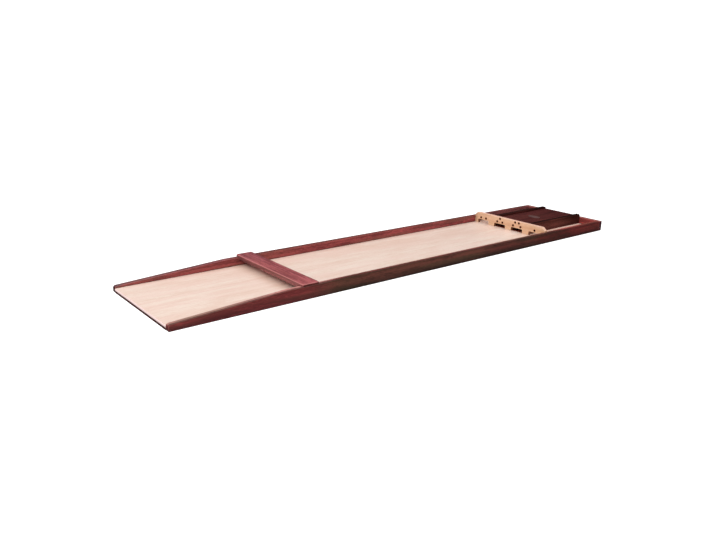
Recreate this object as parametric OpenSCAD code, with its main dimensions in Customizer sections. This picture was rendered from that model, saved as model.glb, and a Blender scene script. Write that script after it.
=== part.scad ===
// Dutch shuffleboard: a long shallow trough on which wooden discs are slid under a crossbar,
// through four scoring gates and into four bays. The two middle bays lie under a lift-out cover.
// X runs across the board, Y runs from the player's end to the far end, and Z points up.
// The origin is in the middle of the board's footprint, on the table that it stands on.

/* [Board] */
// Length over all
board_l = 2000; // [1600:10:2400]
// Width over the side rails
board_w = 400; // [370:1:460]

/* [Side rails] */
// Thickness of the side rails
rail_t = 18; // [15:0.5:22]
// Height of the side rails
rail_h = 42; // [38:0.5:52]
// Height of the side rails at the player's end
rail_front_h = 20; // [15.5:0.5:26]
// Length over which the side rails rise to their full height
taper_l = 377; // [200:1:400]
// Radius of the top front corner of the side rails
nose_r = 8; // [2:0.5:12]
// Easing of the edges of the side rails and the end wall
rail_ease = 1.2; // [0.5:0.1:2]

/* [End wall] */
// Thickness of the end wall
wall_t = 18; // [14:0.5:24]

/* [Playing panel] */
// Thickness of the playing panel
panel_t = 9.5; // [8:0.5:10]
// Radius of the top edge of the playing panel at the player's end
panel_nose_r = 3; // [1:0.5:4]
// Depth of the grooves that hold the playing panel
groove_d = 6; // [4:0.5:8]
// Distance of the grooves from the player's end
groove_setback = 30; // [20:1:60]

/* [Battens] */
// Width of the cross battens under the panel
batten_w = 40; // [30:1:60]
// Thickness of the cross battens
batten_t = 4.5; // [4:0.1:5.5]
// Screws in each cross batten
batten_screws_n = 3; // [2:1:6]
// Distance of the outer batten screws from the batten's ends
batten_screw_inset = 42; // [20:1:80]

/* [Crossbar] */
// Distance of the crossbar from the player's end
bar_y = 425; // [405:1:700]
// Width of the crossbar along the board
bar_w = 60; // [44:1:90]
// Thickness of the crossbar
bar_t = 16.4; // [14:0.2:20]
// Part of the crossbar's thickness that lies above the side rails
bar_above = 8.4; // [7:0.1:10]
// Easing of the crossbar's edges
bar_ease = 2; // [0.5:0.1:3]
// Diameter of the pegs that locate the crossbar
peg_d = 6; // [4:0.5:8]
// Distance between the two pegs at each end of the crossbar
peg_spacing = 32; // [24:1:34]
// Depth of the pegs in the crossbar
peg_in_bar = 5.5; // [4:0.1:6]
// Depth of the pegs in the side rails
peg_in_rail = 9; // [6:0.5:14]

/* [Gate board] */
// Thickness of the gate board
gate_t = 15; // [12:0.5:20]
// Height of the gate board above the playing surface
gate_h = 45.5; // [43:0.5:56]
// Depth of the housings that hold the gate board in the side rails
housing_d = 5.3; // [3:0.1:7]
// Width of each gate
opening_w = 58; // [50:0.5:62]
// Height of each gate
opening_h = 16; // [14:0.5:18]
// Radius of the top corners of each gate
opening_r = 4; // [1:0.5:7]
// Width of the slanted top corners of the gate board
corner_w = 16; // [8:0.5:24]
// Height of the slanted top corners of the gate board
corner_h = 13; // [6:0.5:16]
// Easing of the top edges of the gate board
gate_ease = 1.2; // [0.5:0.1:2.5]

/* [Score dots] */
// Diameter of the drilled score dots
dot_d = 8.5; // [5:0.5:9]
// Depth of the score dots
dot_depth = 6; // [2:0.5:8]
// Height of the lower dots above the gate
dot_low = 8.5; // [6:0.5:10]
// Height of the upper dots above the lower ones
dot_rise = 14; // [11:0.5:15]
// Distance between the two lower dots over the gates for two and three
dot_pair = 28; // [16:1:40]
// Distance between the two lower dots over the gate for four
dot_four_low = 39; // [30:1:48]
// Distance between the two upper dots over the gate for four
dot_four_high = 19.4; // [12:0.2:28]

/* [Bays] */
// Length of the bays behind the gate board
bay_l = 355; // [240:1:420]
// Thickness of the dividers between the bays
divider_t = 17; // [14:0.5:20]
// Height of the two outer dividers above the playing surface
divider_h = 43; // [38:0.5:45]
// Radius of the rounded top edges of the outer dividers
divider_round = 5; // [2:0.5:6.5]
// Radius of the top corner of the outer dividers at the end wall
divider_end_r = 10; // [3:0.5:14]
// Easing of the ends of the dividers
divider_ease = 1.5; // [0.5:0.1:3]
// Screws in each divider
divider_screws_n = 3; // [2:1:5]
// Distance of the outer divider screws from the divider's ends
divider_screw_inset = 60; // [45:1:90]

/* [Cover] */
// Height of the top of the cover above the playing surface
cover_rise = 34.5; // [32:0.5:37]
// Thickness of the cover, which lies partly below the top of the end wall and so stays in place
cover_t = 9; // [7.5:0.5:10]
// Width of the cross-grain batten at each end of the cover
cover_end_w = 24; // [16:1:40]
// Length of the tongues that join the cover to its end battens
tongue_l = 7; // [4:0.5:10]
// Thickness of the tongues
tongue_t = 3; // [2:0.1:4]
// Easing of the edges of the cover
cover_ease = 0.6; // [0.2:0.1:1]

/* [Cleats] */
// Width of the cleats that carry the cover
cleat_w = 10; // [6:0.5:12]
// Height of the cleats
cleat_h = 8; // [7:0.5:10]
// Distance of the cleats from the divider's ends
cleat_setback = 15; // [5:1:40]
// Screws in each cleat
cleat_screws_n = 3; // [2:1:5]
// Distance of the outer cleat screws from the cleat's ends
cleat_screw_inset = 30; // [15:1:60]

/* [Oval plate] */
// Length of the blank oval plate on the cover
oval_l = 58; // [40:1:100]
// Width of the oval plate
oval_w = 33; // [24:1:60]
// Thickness of the oval plate
oval_t = 0.6; // [0.4:0.1:1]
// Distance of the oval plate's middle from the gate board
oval_y = 159; // [60:1:180]

/* [Screws] */
// Thickness of the screws in the battens and the cleats
small_screw_d = 3; // [2.5:0.1:3.5]
// Thickness of the screws in the dividers and the end wall
large_screw_d = 4; // [3.5:0.1:4.5]
// Length of the batten screws
batten_screw_l = 10.5; // [8:0.5:11.5]
// Length of the divider screws
divider_screw_l = 30; // [20:0.5:34]
// Length of the cleat screws
cleat_screw_l = 18; // [14:0.5:22]
// Length of the end wall screws
wall_screw_l = 45; // [30:1:60]
// Distance between the two screws in each end of the end wall
wall_screw_spacing = 18; // [12:1:22]

/* [Fits] */
// Gap around pieces that are fastened in place
fixed_gap = 0.2; // [0.1:0.05:0.4]
// Gap under and beside pieces that lift out
lift_gap = 0.3; // [0.2:0.05:0.5]
// Gap between the crossbar and the inner faces of the side rails
bar_side_gap = 0.6; // [0.3:0.1:1.5]
// Depth of the screw heads below the surface
head_sink = 0.3; // [0.1:0.1:0.6]

/* [Hidden] */

// Colours of the stained rails, the light panel, the gate board, the dark bays and the metal
RAIL_RED = [0.36, 0.15, 0.14];
PANEL_CREAM = [0.93, 0.85, 0.78];
GATE_TAN = [0.86, 0.68, 0.49];
BAY_BROWN = [0.22, 0.10, 0.09];
PEG_BEECH = [0.80, 0.62, 0.43];
ZINC = [0.75, 0.76, 0.78];
OVAL_GREY = [0.55, 0.53, 0.52];

// Left and right side of the board
LEFT = -1;
RIGHT = 1;

// Length by which a cut runs past the face that it opens
past = 1;
// Steps in a quarter round
round_steps = 6;
$fn = 48;

// Faces across the board
rail_inner_x = board_w / 2 - rail_t;
rail_mid_x = board_w / 2 - rail_t / 2;
inner_w = 2 * rail_inner_x;

// Faces along the board
front_y = -board_l / 2;
wall_y = board_l / 2 - wall_t;
gate_back_y = wall_y - bay_l;
gate_front_y = gate_back_y - gate_t;
bar_front_y = front_y + bar_y;
bar_mid_y = bar_front_y + bar_w / 2;
rail_l = board_l - wall_t;

// Faces from the table up
surface_z = batten_t + panel_t;
opening_top_z = surface_z + opening_h;
gate_foot_z = surface_z + lift_gap;
gate_top_z = surface_z + gate_h;
divider_top_z = surface_z + divider_h;
cover_top_z = surface_z + cover_rise;
cover_z = cover_top_z - cover_t;
cover_seat_z = cover_z - lift_gap;
bar_seat_z = rail_h + lift_gap;
bar_top_z = rail_h + bar_above;
bar_z = bar_top_z - bar_t;

// Pitch of the gates, and the score of each gate from left to right
gate_pitch = inner_w / 4;
SCORES = [2, 3, 4, 1];

// Dividers, cover and cleats behind the gate board
divider_x = gate_pitch;
divider_y = gate_back_y + lift_gap;
divider_l = wall_y - divider_y;
divider_inner_x = divider_x - divider_t / 2;
cover_w = 2 * (divider_inner_x - lift_gap);
cover_y = divider_y + lift_gap;
cover_l = wall_y - lift_gap - cover_y;
cleat_l = divider_l - 2 * cleat_setback;
cleat_y = divider_y + cleat_setback;

// Places of the dots over a gate, measured from the middle of the gate's top edge
function dots(score) =
    score == 1 ? [[0, dot_low]] :
    score == 2 ? [for (side = [LEFT, RIGHT]) [side * dot_pair / 2, dot_low]] :
    score == 3 ? concat([[0, dot_low + dot_rise]], dots(2)) :
    [for (side = [LEFT, RIGHT]) each [[side * dot_four_low / 2, dot_low],
                                     [side * dot_four_high / 2, dot_low + dot_rise]]];

// Middle of gate number i across the board, counted from the left
function gate_x(i) = (i - 1.5) * gate_pitch;

// Evenly spaced places from low to high
function spaced(low, high, count) = [for (i = [0:count - 1]) low + (high - low) * i / (count - 1)];

// Points of an arc in steps
function arc(centre, radius, from, to) =
    [for (i = [0:round_steps])
        let (angle = from + (to - from) * i / round_steps)
        centre + radius * [cos(angle), sin(angle)]];

// Rise of the rail's top edge for each millimetre of the taper, and its angle
rail_slope = (rail_h - rail_front_h) / taper_l;
rail_angle = atan(rail_slope);

// Side view of a rail, with Y along the board and the player's end at zero
function rail_outline() =
    let (nose_z = rail_front_h + rail_slope * nose_r - nose_r / cos(rail_angle))
    concat([[0, 0], [rail_l, 0], [rail_l, rail_h], [taper_l, rail_h]],
           arc([nose_r, nose_z], nose_r, 90 + rail_angle, 180));

// Places of the cross battens' front edges, by their use
front_batten_y = front_y;
crossbar_batten_y = bar_mid_y - batten_w / 2;
middle_batten_y = -batten_w / 2;
gate_batten_y = gate_front_y + gate_t / 2 - batten_w / 2;
rear_batten_y = wall_y - batten_w;
batten_places = [front_batten_y, crossbar_batten_y, middle_batten_y, gate_batten_y, rear_batten_y];

batten_screw_x = inner_w / 2 - batten_screw_inset;
batten_screw_xs = spaced(-batten_screw_x, batten_screw_x, batten_screws_n);
divider_screw_ys = spaced(divider_y + divider_screw_inset, wall_y - divider_screw_inset, divider_screws_n);
cleat_screw_ys = spaced(cleat_y + cleat_screw_inset, cleat_y + cleat_l - cleat_screw_inset, cleat_screws_n);
cleat_mid_z = cover_seat_z - cleat_h / 2;
wall_screw_zs = [for (side = [LEFT, RIGHT]) rail_h / 2 + side * wall_screw_spacing / 2];
peg_ys = [for (side = [LEFT, RIGHT]) bar_mid_y + side * peg_spacing / 2];

// Block with its low corner at the origin and all its edges eased
module eased_block(size, ease)
    hull()
        for (along = [0:2])
            translate([for (i = [0:2]) i == along ? 0 : ease])
                cube([for (i = [0:2]) i == along ? size[i] : size[i] - 2 * ease]);

// Bar along Y with a given section in X and Z, with its ends eased
module eased_bar(section, length, ease)
    hull() {
        translate([0, length - ease, 0])
            rotate([90, 0, 0])
                linear_extrude(length - 2 * ease) polygon(section);
        translate([0, length, 0])
            rotate([90, 0, 0])
                linear_extrude(length) offset(delta = -ease) polygon(section);
    }

// Countersunk wood screw along Z, with the flat of its head at zero
module screw(d, length) {
    recess_w = d / 4;
    recess_d = d / 3;
    difference() {
        rotate_extrude()
            polygon([[0, 0], [d, 0], [d / 2, d / 2], [d / 2, length - d / 2], [0, length]]);
        for (turn = [0, 90])
            rotate(turn)
                translate([-d / 2, -recess_w / 2, -past])
                    cube([d, recess_w, past + recess_d]);
    }
}

// Hole for that screw, with its head below the face at zero
module screw_hole(d, length)
    rotate_extrude()
        polygon([[0, -past], [d + fixed_gap, -past], [d + fixed_gap, head_sink],
                 [d / 2 + fixed_gap, head_sink + d / 2],
                 [d / 2 + fixed_gap, head_sink + length + fixed_gap],
                 [0, head_sink + length + fixed_gap]]);

module at_batten_screws()
    for (y = batten_places, x = batten_screw_xs)
        translate([x, y + batten_w / 2, 0]) children();

module at_divider_screws()
    for (i = [-1:1], y = divider_screw_ys)
        translate([i * divider_x, y, batten_t]) children();

module at_cleat_screws(side)
    for (y = cleat_screw_ys)
        translate([side * (divider_inner_x - cleat_w), y, cleat_mid_z])
            rotate([0, side * 90, 0]) children();

module at_wall_screws()
    for (side = [LEFT, RIGHT], z = wall_screw_zs)
        translate([side * rail_mid_x, board_l / 2, z])
            rotate([90, 0, 0]) children();

module at_pegs()
    for (side = [LEFT, RIGHT], y = peg_ys)
        translate([side * rail_mid_x, y, 0]) children();

// Groove for the panel, cut into the rails and the end wall from inside
module panel_groove()
    translate([-inner_w / 2 - groove_d, front_y + groove_setback, batten_t])
        cube([inner_w + 2 * groove_d, rail_l - groove_setback + groove_d, panel_t + fixed_gap]);

// Housings for the gate board, open at the top
module gate_housings()
    translate([-inner_w / 2 - housing_d, gate_front_y - lift_gap, surface_z])
        cube([inner_w + 2 * housing_d, gate_t + 2 * lift_gap, rail_h]);

module rail(side)
    difference() {
        translate([side * rail_mid_x, front_y, 0])
            rotate([90, 0, 90])
                hull() {
                    translate([0, 0, rail_ease - rail_t / 2])
                        linear_extrude(rail_t - 2 * rail_ease) polygon(rail_outline());
                    translate([0, 0, -rail_t / 2])
                        linear_extrude(rail_t) offset(delta = -rail_ease) polygon(rail_outline());
                }
        panel_groove();
        gate_housings();
        at_pegs()
            translate([0, 0, rail_h - peg_in_rail - lift_gap])
                cylinder(d = peg_d + 2 * lift_gap, h = peg_in_rail + lift_gap + past);
        at_wall_screws() screw_hole(large_screw_d, wall_screw_l);
    }

module left_rail() color(RAIL_RED) rail(LEFT);

module right_rail() color(RAIL_RED) rail(RIGHT);

module end_wall()
    color(RAIL_RED)
        difference() {
            translate([-board_w / 2, wall_y, 0])
                eased_block([board_w, wall_t, rail_h], rail_ease);
            panel_groove();
            at_wall_screws() screw_hole(large_screw_d, wall_screw_l);
        }

// Light panel in the grooves, narrower at the player's end, where the grooves stop
module playing_panel() {
    grooved_w = inner_w + 2 * (groove_d - fixed_gap);
    open_w = inner_w - 2 * fixed_gap;
    notch_l = groove_setback + fixed_gap;
    panel_l = rail_l + groove_d - fixed_gap;
    side_view = concat([[0, 0], [panel_l, 0], [panel_l, panel_t]],
                       arc([panel_nose_r, panel_t - panel_nose_r], panel_nose_r, 90, 180));
    color(PANEL_CREAM)
        difference() {
            translate([-grooved_w / 2, front_y, batten_t])
                rotate([90, 0, 90]) linear_extrude(grooved_w) polygon(side_view);
            for (side = [LEFT, RIGHT])
                translate([side * (open_w + grooved_w) / 2, front_y - past, batten_t - past])
                    translate([-grooved_w / 2, 0, 0])
                        cube([grooved_w, notch_l + past, panel_t + 2 * past]);
            at_batten_screws() screw_hole(small_screw_d, batten_screw_l);
            at_divider_screws() screw_hole(large_screw_d, divider_screw_l);
        }
}

module batten(y)
    color(RAIL_RED)
        difference() {
            translate([-inner_w / 2 + fixed_gap, y, 0])
                cube([inner_w - 2 * fixed_gap, batten_w, batten_t]);
            at_batten_screws() screw_hole(small_screw_d, batten_screw_l);
        }

module front_batten() batten(front_batten_y);

module crossbar_batten() batten(crossbar_batten_y);

module middle_batten() batten(middle_batten_y);

module gate_batten() batten(gate_batten_y);

module rear_batten() batten(rear_batten_y);

module batten_screws()
    color(ZINC)
        at_batten_screws()
            translate([0, 0, head_sink]) screw(small_screw_d, batten_screw_l);

module end_wall_screws()
    color(ZINC)
        at_wall_screws()
            translate([0, 0, head_sink]) screw(large_screw_d, wall_screw_l);

// Outer divider with its two long top edges rounded, and its top corner at the end wall too
module outer_divider(side) {
    half_t = divider_t / 2;
    round_x = half_t - divider_round;
    round_z = divider_h - divider_round;
    section = concat([[-half_t, 0], [half_t, 0]],
                     arc([round_x, round_z], divider_round, 0, 90),
                     arc([-round_x, round_z], divider_round, 90, 180));
    side_view = concat([[0, 0], [divider_l, 0]],
                       arc([divider_l - divider_end_r, divider_h - divider_end_r], divider_end_r, 0, 90),
                       [[0, divider_h]]);
    color(BAY_BROWN)
        difference() {
            translate([side * divider_x, divider_y, surface_z])
                intersection() {
                    eased_bar(section, divider_l, divider_ease);
                    translate([-half_t, 0, 0])
                        rotate([90, 0, 90]) linear_extrude(divider_t) polygon(side_view);
                }
            at_divider_screws() screw_hole(large_screw_d, divider_screw_l);
            at_cleat_screws(side) screw_hole(small_screw_d, cleat_screw_l);
        }
}

module left_divider() outer_divider(LEFT);

module right_divider() outer_divider(RIGHT);

// Lower divider that also carries the middle of the cover
module middle_divider()
    color(BAY_BROWN)
        difference() {
            translate([-divider_t / 2, divider_y, surface_z])
                eased_block([divider_t, divider_l, cover_seat_z - surface_z], divider_ease);
            at_divider_screws() screw_hole(large_screw_d, divider_screw_l);
        }

module divider_screws()
    color(ZINC)
        at_divider_screws()
            translate([0, 0, head_sink]) screw(large_screw_d, divider_screw_l);

module cleat(side)
    color(BAY_BROWN)
        difference() {
            translate([side * (divider_inner_x - cleat_w / 2) - cleat_w / 2, cleat_y, cover_seat_z - cleat_h])
                eased_block([cleat_w, cleat_l, cleat_h], cover_ease);
            at_cleat_screws(side) screw_hole(small_screw_d, cleat_screw_l);
        }

module left_cleat() cleat(LEFT);

module right_cleat() cleat(RIGHT);

module cleat_screws()
    color(ZINC)
        for (side = [LEFT, RIGHT])
            at_cleat_screws(side)
                translate([0, 0, head_sink]) screw(small_screw_d, cleat_screw_l);

// Bar across both rails, cut away at its ends so that it drops between them
module crossbar() {
    between_w = inner_w - 2 * bar_side_gap;
    color(RAIL_RED)
        difference() {
            translate([-board_w / 2, bar_front_y, bar_z])
                eased_block([board_w, bar_w, bar_t], bar_ease);
            for (side = [LEFT, RIGHT])
                translate([side * (between_w + board_w) / 2 - board_w / 2, bar_front_y - past, bar_z - past])
                    cube([board_w, bar_w + 2 * past, bar_seat_z - bar_z + past]);
            at_pegs()
                translate([0, 0, bar_seat_z - past])
                    cylinder(d = peg_d + 2 * fixed_gap, h = past + peg_in_bar + fixed_gap);
        }
}

// Pegs glued into the crossbar, with eased lower ends that drop into the rails
module crossbar_pegs() {
    r = peg_d / 2;
    tip = peg_d / 6;
    length = peg_in_rail + lift_gap + peg_in_bar;
    color(PEG_BEECH)
        at_pegs()
            translate([0, 0, rail_h - peg_in_rail])
                rotate_extrude()
                    polygon([[0, 0], [r - tip, 0], [r, tip], [r, length], [0, length]]);
}

// Outline of one gate, with its middle at the origin and its foot below zero
module opening_outline()
    union() {
        translate([-opening_w / 2, -past])
            square([opening_w, opening_h - opening_r + past]);
        translate([opening_r - opening_w / 2, 0])
            square([opening_w - 2 * opening_r, opening_h]);
        for (side = [LEFT, RIGHT])
            translate([side * (opening_w / 2 - opening_r), opening_h - opening_r])
                circle(opening_r);
    }

// Front view of the gate board, with the playing surface at zero
module gate_outline() {
    half_w = inner_w / 2 + housing_d - lift_gap;
    difference() {
        polygon([[-half_w, lift_gap], [half_w, lift_gap], [half_w, gate_h - corner_h],
                 [half_w - corner_w, gate_h], [corner_w - half_w, gate_h], [-half_w, gate_h - corner_h]]);
        for (i = [0:len(SCORES) - 1])
            translate([gate_x(i), 0]) opening_outline();
    }
}

// End view of the gate board, with its two top edges eased
module gate_section()
    polygon([[0, 0], [gate_t, 0], [gate_t, gate_h - gate_ease], [gate_t - gate_ease, gate_h],
             [gate_ease, gate_h], [0, gate_h - gate_ease]]);

module gate_board()
    color(GATE_TAN)
        translate([0, gate_front_y, surface_z])
            difference() {
                intersection() {
                    translate([0, gate_t, 0])
                        rotate([90, 0, 0]) linear_extrude(gate_t) gate_outline();
                    translate([-board_w / 2, 0, 0])
                        rotate([90, 0, 90]) linear_extrude(board_w) gate_section();
                }
                for (i = [0:len(SCORES) - 1], dot = dots(SCORES[i]))
                    translate([gate_x(i) + dot[0], dot_depth, opening_h + dot[1]])
                        rotate([90, 0, 0]) cylinder(d = dot_d, h = dot_depth + past);
            }

// Front and rear faces of the cover's panel between its end battens
cover_panel_y = cover_y + cover_end_w;
cover_panel_l = cover_l - 2 * cover_end_w;

// Thin panel with a tongue at each end
module cover_panel() {
    color(BAY_BROWN)
        union() {
            translate([-cover_w / 2, cover_panel_y, cover_z])
                cube([cover_w, cover_panel_l, cover_t]);
            translate([-cover_w / 2, cover_panel_y - tongue_l, cover_z + (cover_t - tongue_t) / 2])
                cube([cover_w, cover_panel_l + 2 * tongue_l, tongue_t]);
        }
}

// Cross-grain batten that closes one end of the cover, grooved for the tongue
module cover_end(y)
    color(BAY_BROWN)
        difference() {
            translate([-cover_w / 2, y, cover_z])
                cube([cover_w, cover_end_w, cover_t]);
            translate([-board_w / 2, cover_panel_y - tongue_l - fixed_gap,
                       cover_z + (cover_t - tongue_t) / 2 - fixed_gap])
                cube([board_w, cover_panel_l + 2 * (tongue_l + fixed_gap), tongue_t + 2 * fixed_gap]);
        }

module cover_front_batten() cover_end(cover_y);

module cover_rear_batten() cover_end(cover_y + cover_l - cover_end_w);

// Blank oval plate, fixed on the cover
module oval_plate()
    color(OVAL_GREY)
        translate([0, gate_back_y + oval_y, cover_top_z])
            linear_extrude(oval_t)
                polygon([for (i = [0:$fn - 1])
                    let (angle = 360 * i / $fn)
                    [oval_l / 2 * cos(angle), oval_w / 2 * sin(angle)]]);

playing_panel();
left_rail();
right_rail();
end_wall();
front_batten();
crossbar_batten();
middle_batten();
gate_batten();
rear_batten();
batten_screws();
end_wall_screws();
left_divider();
middle_divider();
right_divider();
divider_screws();
left_cleat();
right_cleat();
cleat_screws();
crossbar();
crossbar_pegs();
gate_board();
cover_panel();
cover_front_batten();
cover_rear_batten();
oval_plate();
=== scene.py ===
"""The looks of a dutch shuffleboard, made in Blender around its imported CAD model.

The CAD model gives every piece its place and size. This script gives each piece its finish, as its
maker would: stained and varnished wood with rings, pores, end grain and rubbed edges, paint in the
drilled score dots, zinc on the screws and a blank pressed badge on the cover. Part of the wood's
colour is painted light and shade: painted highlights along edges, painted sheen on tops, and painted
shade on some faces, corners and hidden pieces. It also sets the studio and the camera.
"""

import logging
import math
from dataclasses import dataclass, replace
from enum import Enum
from functools import reduce
from typing import Callable, Mapping, Optional, Sequence, Union

import bmesh
import bpy
from mathutils import Euler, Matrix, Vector


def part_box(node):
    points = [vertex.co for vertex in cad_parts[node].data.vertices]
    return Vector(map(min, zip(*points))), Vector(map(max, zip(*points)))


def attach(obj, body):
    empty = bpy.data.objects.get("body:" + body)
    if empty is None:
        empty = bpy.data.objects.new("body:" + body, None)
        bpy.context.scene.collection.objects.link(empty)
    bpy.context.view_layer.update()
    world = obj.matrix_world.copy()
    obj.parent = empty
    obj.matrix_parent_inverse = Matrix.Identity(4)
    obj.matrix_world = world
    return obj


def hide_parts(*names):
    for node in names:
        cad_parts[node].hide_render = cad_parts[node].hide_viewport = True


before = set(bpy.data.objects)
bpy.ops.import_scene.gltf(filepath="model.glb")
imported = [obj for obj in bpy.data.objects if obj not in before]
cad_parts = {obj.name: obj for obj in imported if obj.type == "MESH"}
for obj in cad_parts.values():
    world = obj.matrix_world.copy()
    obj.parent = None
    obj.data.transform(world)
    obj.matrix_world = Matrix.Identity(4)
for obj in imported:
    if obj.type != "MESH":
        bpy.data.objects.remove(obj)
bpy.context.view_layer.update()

LOG = logging.getLogger("dutch_shuffleboard")
MM = 0.001
MIDDLE = 0.5
QUARTER_TURN = math.pi / 2
JOIN_DISTANCE = 0.000005
FLAT_DEG = 0.5
SHARP_DEG = 60.0
EASED_STEPS = 3

Point = tuple[float, float, float]
Colour = tuple[float, float, float]
Span = tuple[float, float]
Number = Union[float, "Wire"]
Paint = Union[Colour, "Wire"]
Key = Union[int, str]
Settings = Optional[Mapping[str, object]]
Sockets = Optional[Mapping[Key, object]]
Refinement = Callable[["Bench", "Surface"], "Surface"]

WHITE: Colour = (1.0, 1.0, 1.0)


class Grain(Enum):
    """The way the grain runs on the board: the axes of its length, its width and its depth."""

    ALONG = (1, 0, 2)
    ACROSS = (0, 1, 2)
    UPRIGHT = (2, 0, 1)


class Wire:
    """A socket of a node tree in Python's own maths: an expression on wires adds its Math nodes."""

    def __init__(self, bench: "Bench", socket: bpy.types.NodeSocket) -> None:
        """Wraps an output socket of the bench's tree."""
        self.bench = bench
        self.socket = socket

    def maths(self, operation: str, *numbers: Number) -> "Wire":
        """Adds one Math node.

        Args:
            operation: The operation's name in Blender.
            numbers: Its operands in order.

        Returns:
            The result.
        """
        return self.bench.node("ShaderNodeMath", {"operation": operation}, dict(enumerate(numbers)))

    def __add__(self, other: Number) -> "Wire":
        """self + other."""
        return self.maths("ADD", self, other)

    def __radd__(self, other: Number) -> "Wire":
        """other + self."""
        return self.maths("ADD", other, self)

    def __sub__(self, other: Number) -> "Wire":
        """self - other."""
        return self.maths("SUBTRACT", self, other)

    def __rsub__(self, other: Number) -> "Wire":
        """other - self."""
        return self.maths("SUBTRACT", other, self)

    def __mul__(self, other: Number) -> "Wire":
        """self * other."""
        return self.maths("MULTIPLY", self, other)

    def __rmul__(self, other: Number) -> "Wire":
        """other * self."""
        return self.maths("MULTIPLY", other, self)

    def __truediv__(self, other: Number) -> "Wire":
        """self / other."""
        return self.maths("DIVIDE", self, other)

    def __rtruediv__(self, other: Number) -> "Wire":
        """other / self."""
        return self.maths("DIVIDE", other, self)

    def __pow__(self, other: Number) -> "Wire":
        """self ** other."""
        return self.maths("POWER", self, other)

    def __rpow__(self, other: Number) -> "Wire":
        """other ** self."""
        return self.maths("POWER", other, self)

    def __abs__(self) -> "Wire":
        """The size without its sign."""
        return self.maths("ABSOLUTE", self)

    def hypotenuse(self, other: Number) -> "Wire":
        """The long side of a right triangle whose short sides are the two."""
        return (self * self + other * other) ** 0.5

    def least(self, other: Number) -> "Wire":
        """The smaller of the two."""
        return self.maths("MINIMUM", self, other)

    def most(self, other: Number) -> "Wire":
        """The larger of the two."""
        return self.maths("MAXIMUM", self, other)

    def fraction(self) -> "Wire":
        """The part after the decimal point."""
        return self.maths("FRACT", self)

    def whole(self) -> "Wire":
        """The whole number below."""
        return self.maths("FLOOR", self)

    def rise(self, span: Span) -> "Wire":
        """Turns the value into a smooth step.

        Args:
            span: Where the step is still 0, and where it has reached 1. The second may be the lesser,
                for a step down.

        Returns:
            The step, from 0 to 1.
        """
        start, end = span
        limits = {"Value": self, "From Min": min(span), "From Max": max(span)}
        ends = {"To Min": float(start > end), "To Max": float(start < end)}
        settings = {"interpolation_type": "SMOOTHSTEP"}
        return self.bench.node("ShaderNodeMapRange", settings, {**limits, **ends})


class Bench:
    """The node tree of one material or world while it is being made."""

    MIX_INPUTS = ("Factor_Float", "A_Color", "B_Color")
    MIXED_COLOUR = 2

    def __init__(self, tree: bpy.types.NodeTree) -> None:
        """Clears the tree."""
        self.tree = tree
        self.tree.nodes.clear()

    def add(self, kind: str, settings: Settings = None, sockets: Sockets = None) -> bpy.types.Node:
        """Adds a node of any kind.

        Args:
            kind: The node's type in Blender.
            settings: Its properties, which are set first.
            sockets: A value or a wire for each input that isn't left as it is.

        Returns:
            The node.
        """
        made = self.tree.nodes.new(kind)
        for name, value in (settings or {}).items():
            setattr(made, name, value)
        for key, value in (sockets or {}).items():
            self.plug(self.input_of(made, key), value)
        return made

    def node(self, kind: str, settings: Settings = None, sockets: Sockets = None, output: Key = 0) -> Wire:
        """Adds a node as add does, and gives back one of its outputs as a wire."""
        return Wire(self, self.add(kind, settings, sockets).outputs[output])

    @staticmethod
    def input_of(node: bpy.types.Node, key: Key) -> bpy.types.NodeSocket:
        """Finds an input of a node.

        Args:
            node: The node.
            key: The input's place, identifier or name.

        Returns:
            The input.
        """
        for socket in node.inputs:
            if socket.identifier == key:
                return socket
        return node.inputs[key]

    def plug(self, socket: bpy.types.NodeSocket, value: object) -> None:
        """Links a wire to an input, or sets the input's own value.

        Args:
            socket: The input.
            value: A wire, a colour or whatever else the input takes.
        """
        if isinstance(value, Wire):
            self.tree.links.new(value.socket, socket)
        elif socket.type == "RGBA":
            socket.default_value = (*value, 1.0)
        else:
            socket.default_value = value

    def blend(self, start: Paint, end: Paint, share: Number, how: str = "MIX") -> Wire:
        """Mixes two colours.

        Args:
            start: The colour at share 0.
            end: The colour at share 1.
            share: How much of the second colour shows.
            how: The mix's name in Blender.

        Returns:
            The mixed colour.
        """
        settings = {"data_type": "RGBA", "blend_type": how}
        sockets = dict(zip(self.MIX_INPUTS, (share, start, end)))
        return self.node("ShaderNodeMix", settings, sockets, output=self.MIXED_COLOUR)

    def tint(self, colour: Paint, tint: Paint) -> Wire:
        """A colour seen through a thin coat of another: the product of the two."""
        return self.blend(colour, tint, 1.0, "MULTIPLY")

    def wash(self, colour: Paint, tint: Paint, share: Number) -> Wire:
        """A colour with a thin coat of another over a share of it."""
        return self.blend(colour, self.tint(colour, tint), share)

    def chance(self, number: Number) -> Wire:
        """A number from 0 to 1 that only depends on the given one."""
        return self.node("ShaderNodeTexWhiteNoise", {"noise_dimensions": "1D"}, {"W": number})

    def axes_of(self, vector: Wire) -> tuple[Wire, Wire, Wire]:
        """The three parts of a vector."""
        parts = self.add("ShaderNodeSeparateXYZ", sockets={0: vector}).outputs
        return Wire(self, parts[0]), Wire(self, parts[1]), Wire(self, parts[2])

    def place_mm(self) -> tuple[Wire, Wire, Wire]:
        """Finds the point of the surface.

        Returns:
            Its coordinates in the board's own frame, in millimetres.
        """
        point = self.node("ShaderNodeTexCoord", output="Object")
        sockets = {0: point, "Scale": 1 / MM}
        return self.axes_of(self.node("ShaderNodeVectorMath", {"operation": "SCALE"}, sockets))

    def facing(self) -> tuple[Wire, Wire, Wire]:
        """The way the surface faces in the board's own frame."""
        return self.axes_of(self.node("ShaderNodeTexCoord", output="Normal"))


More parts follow.
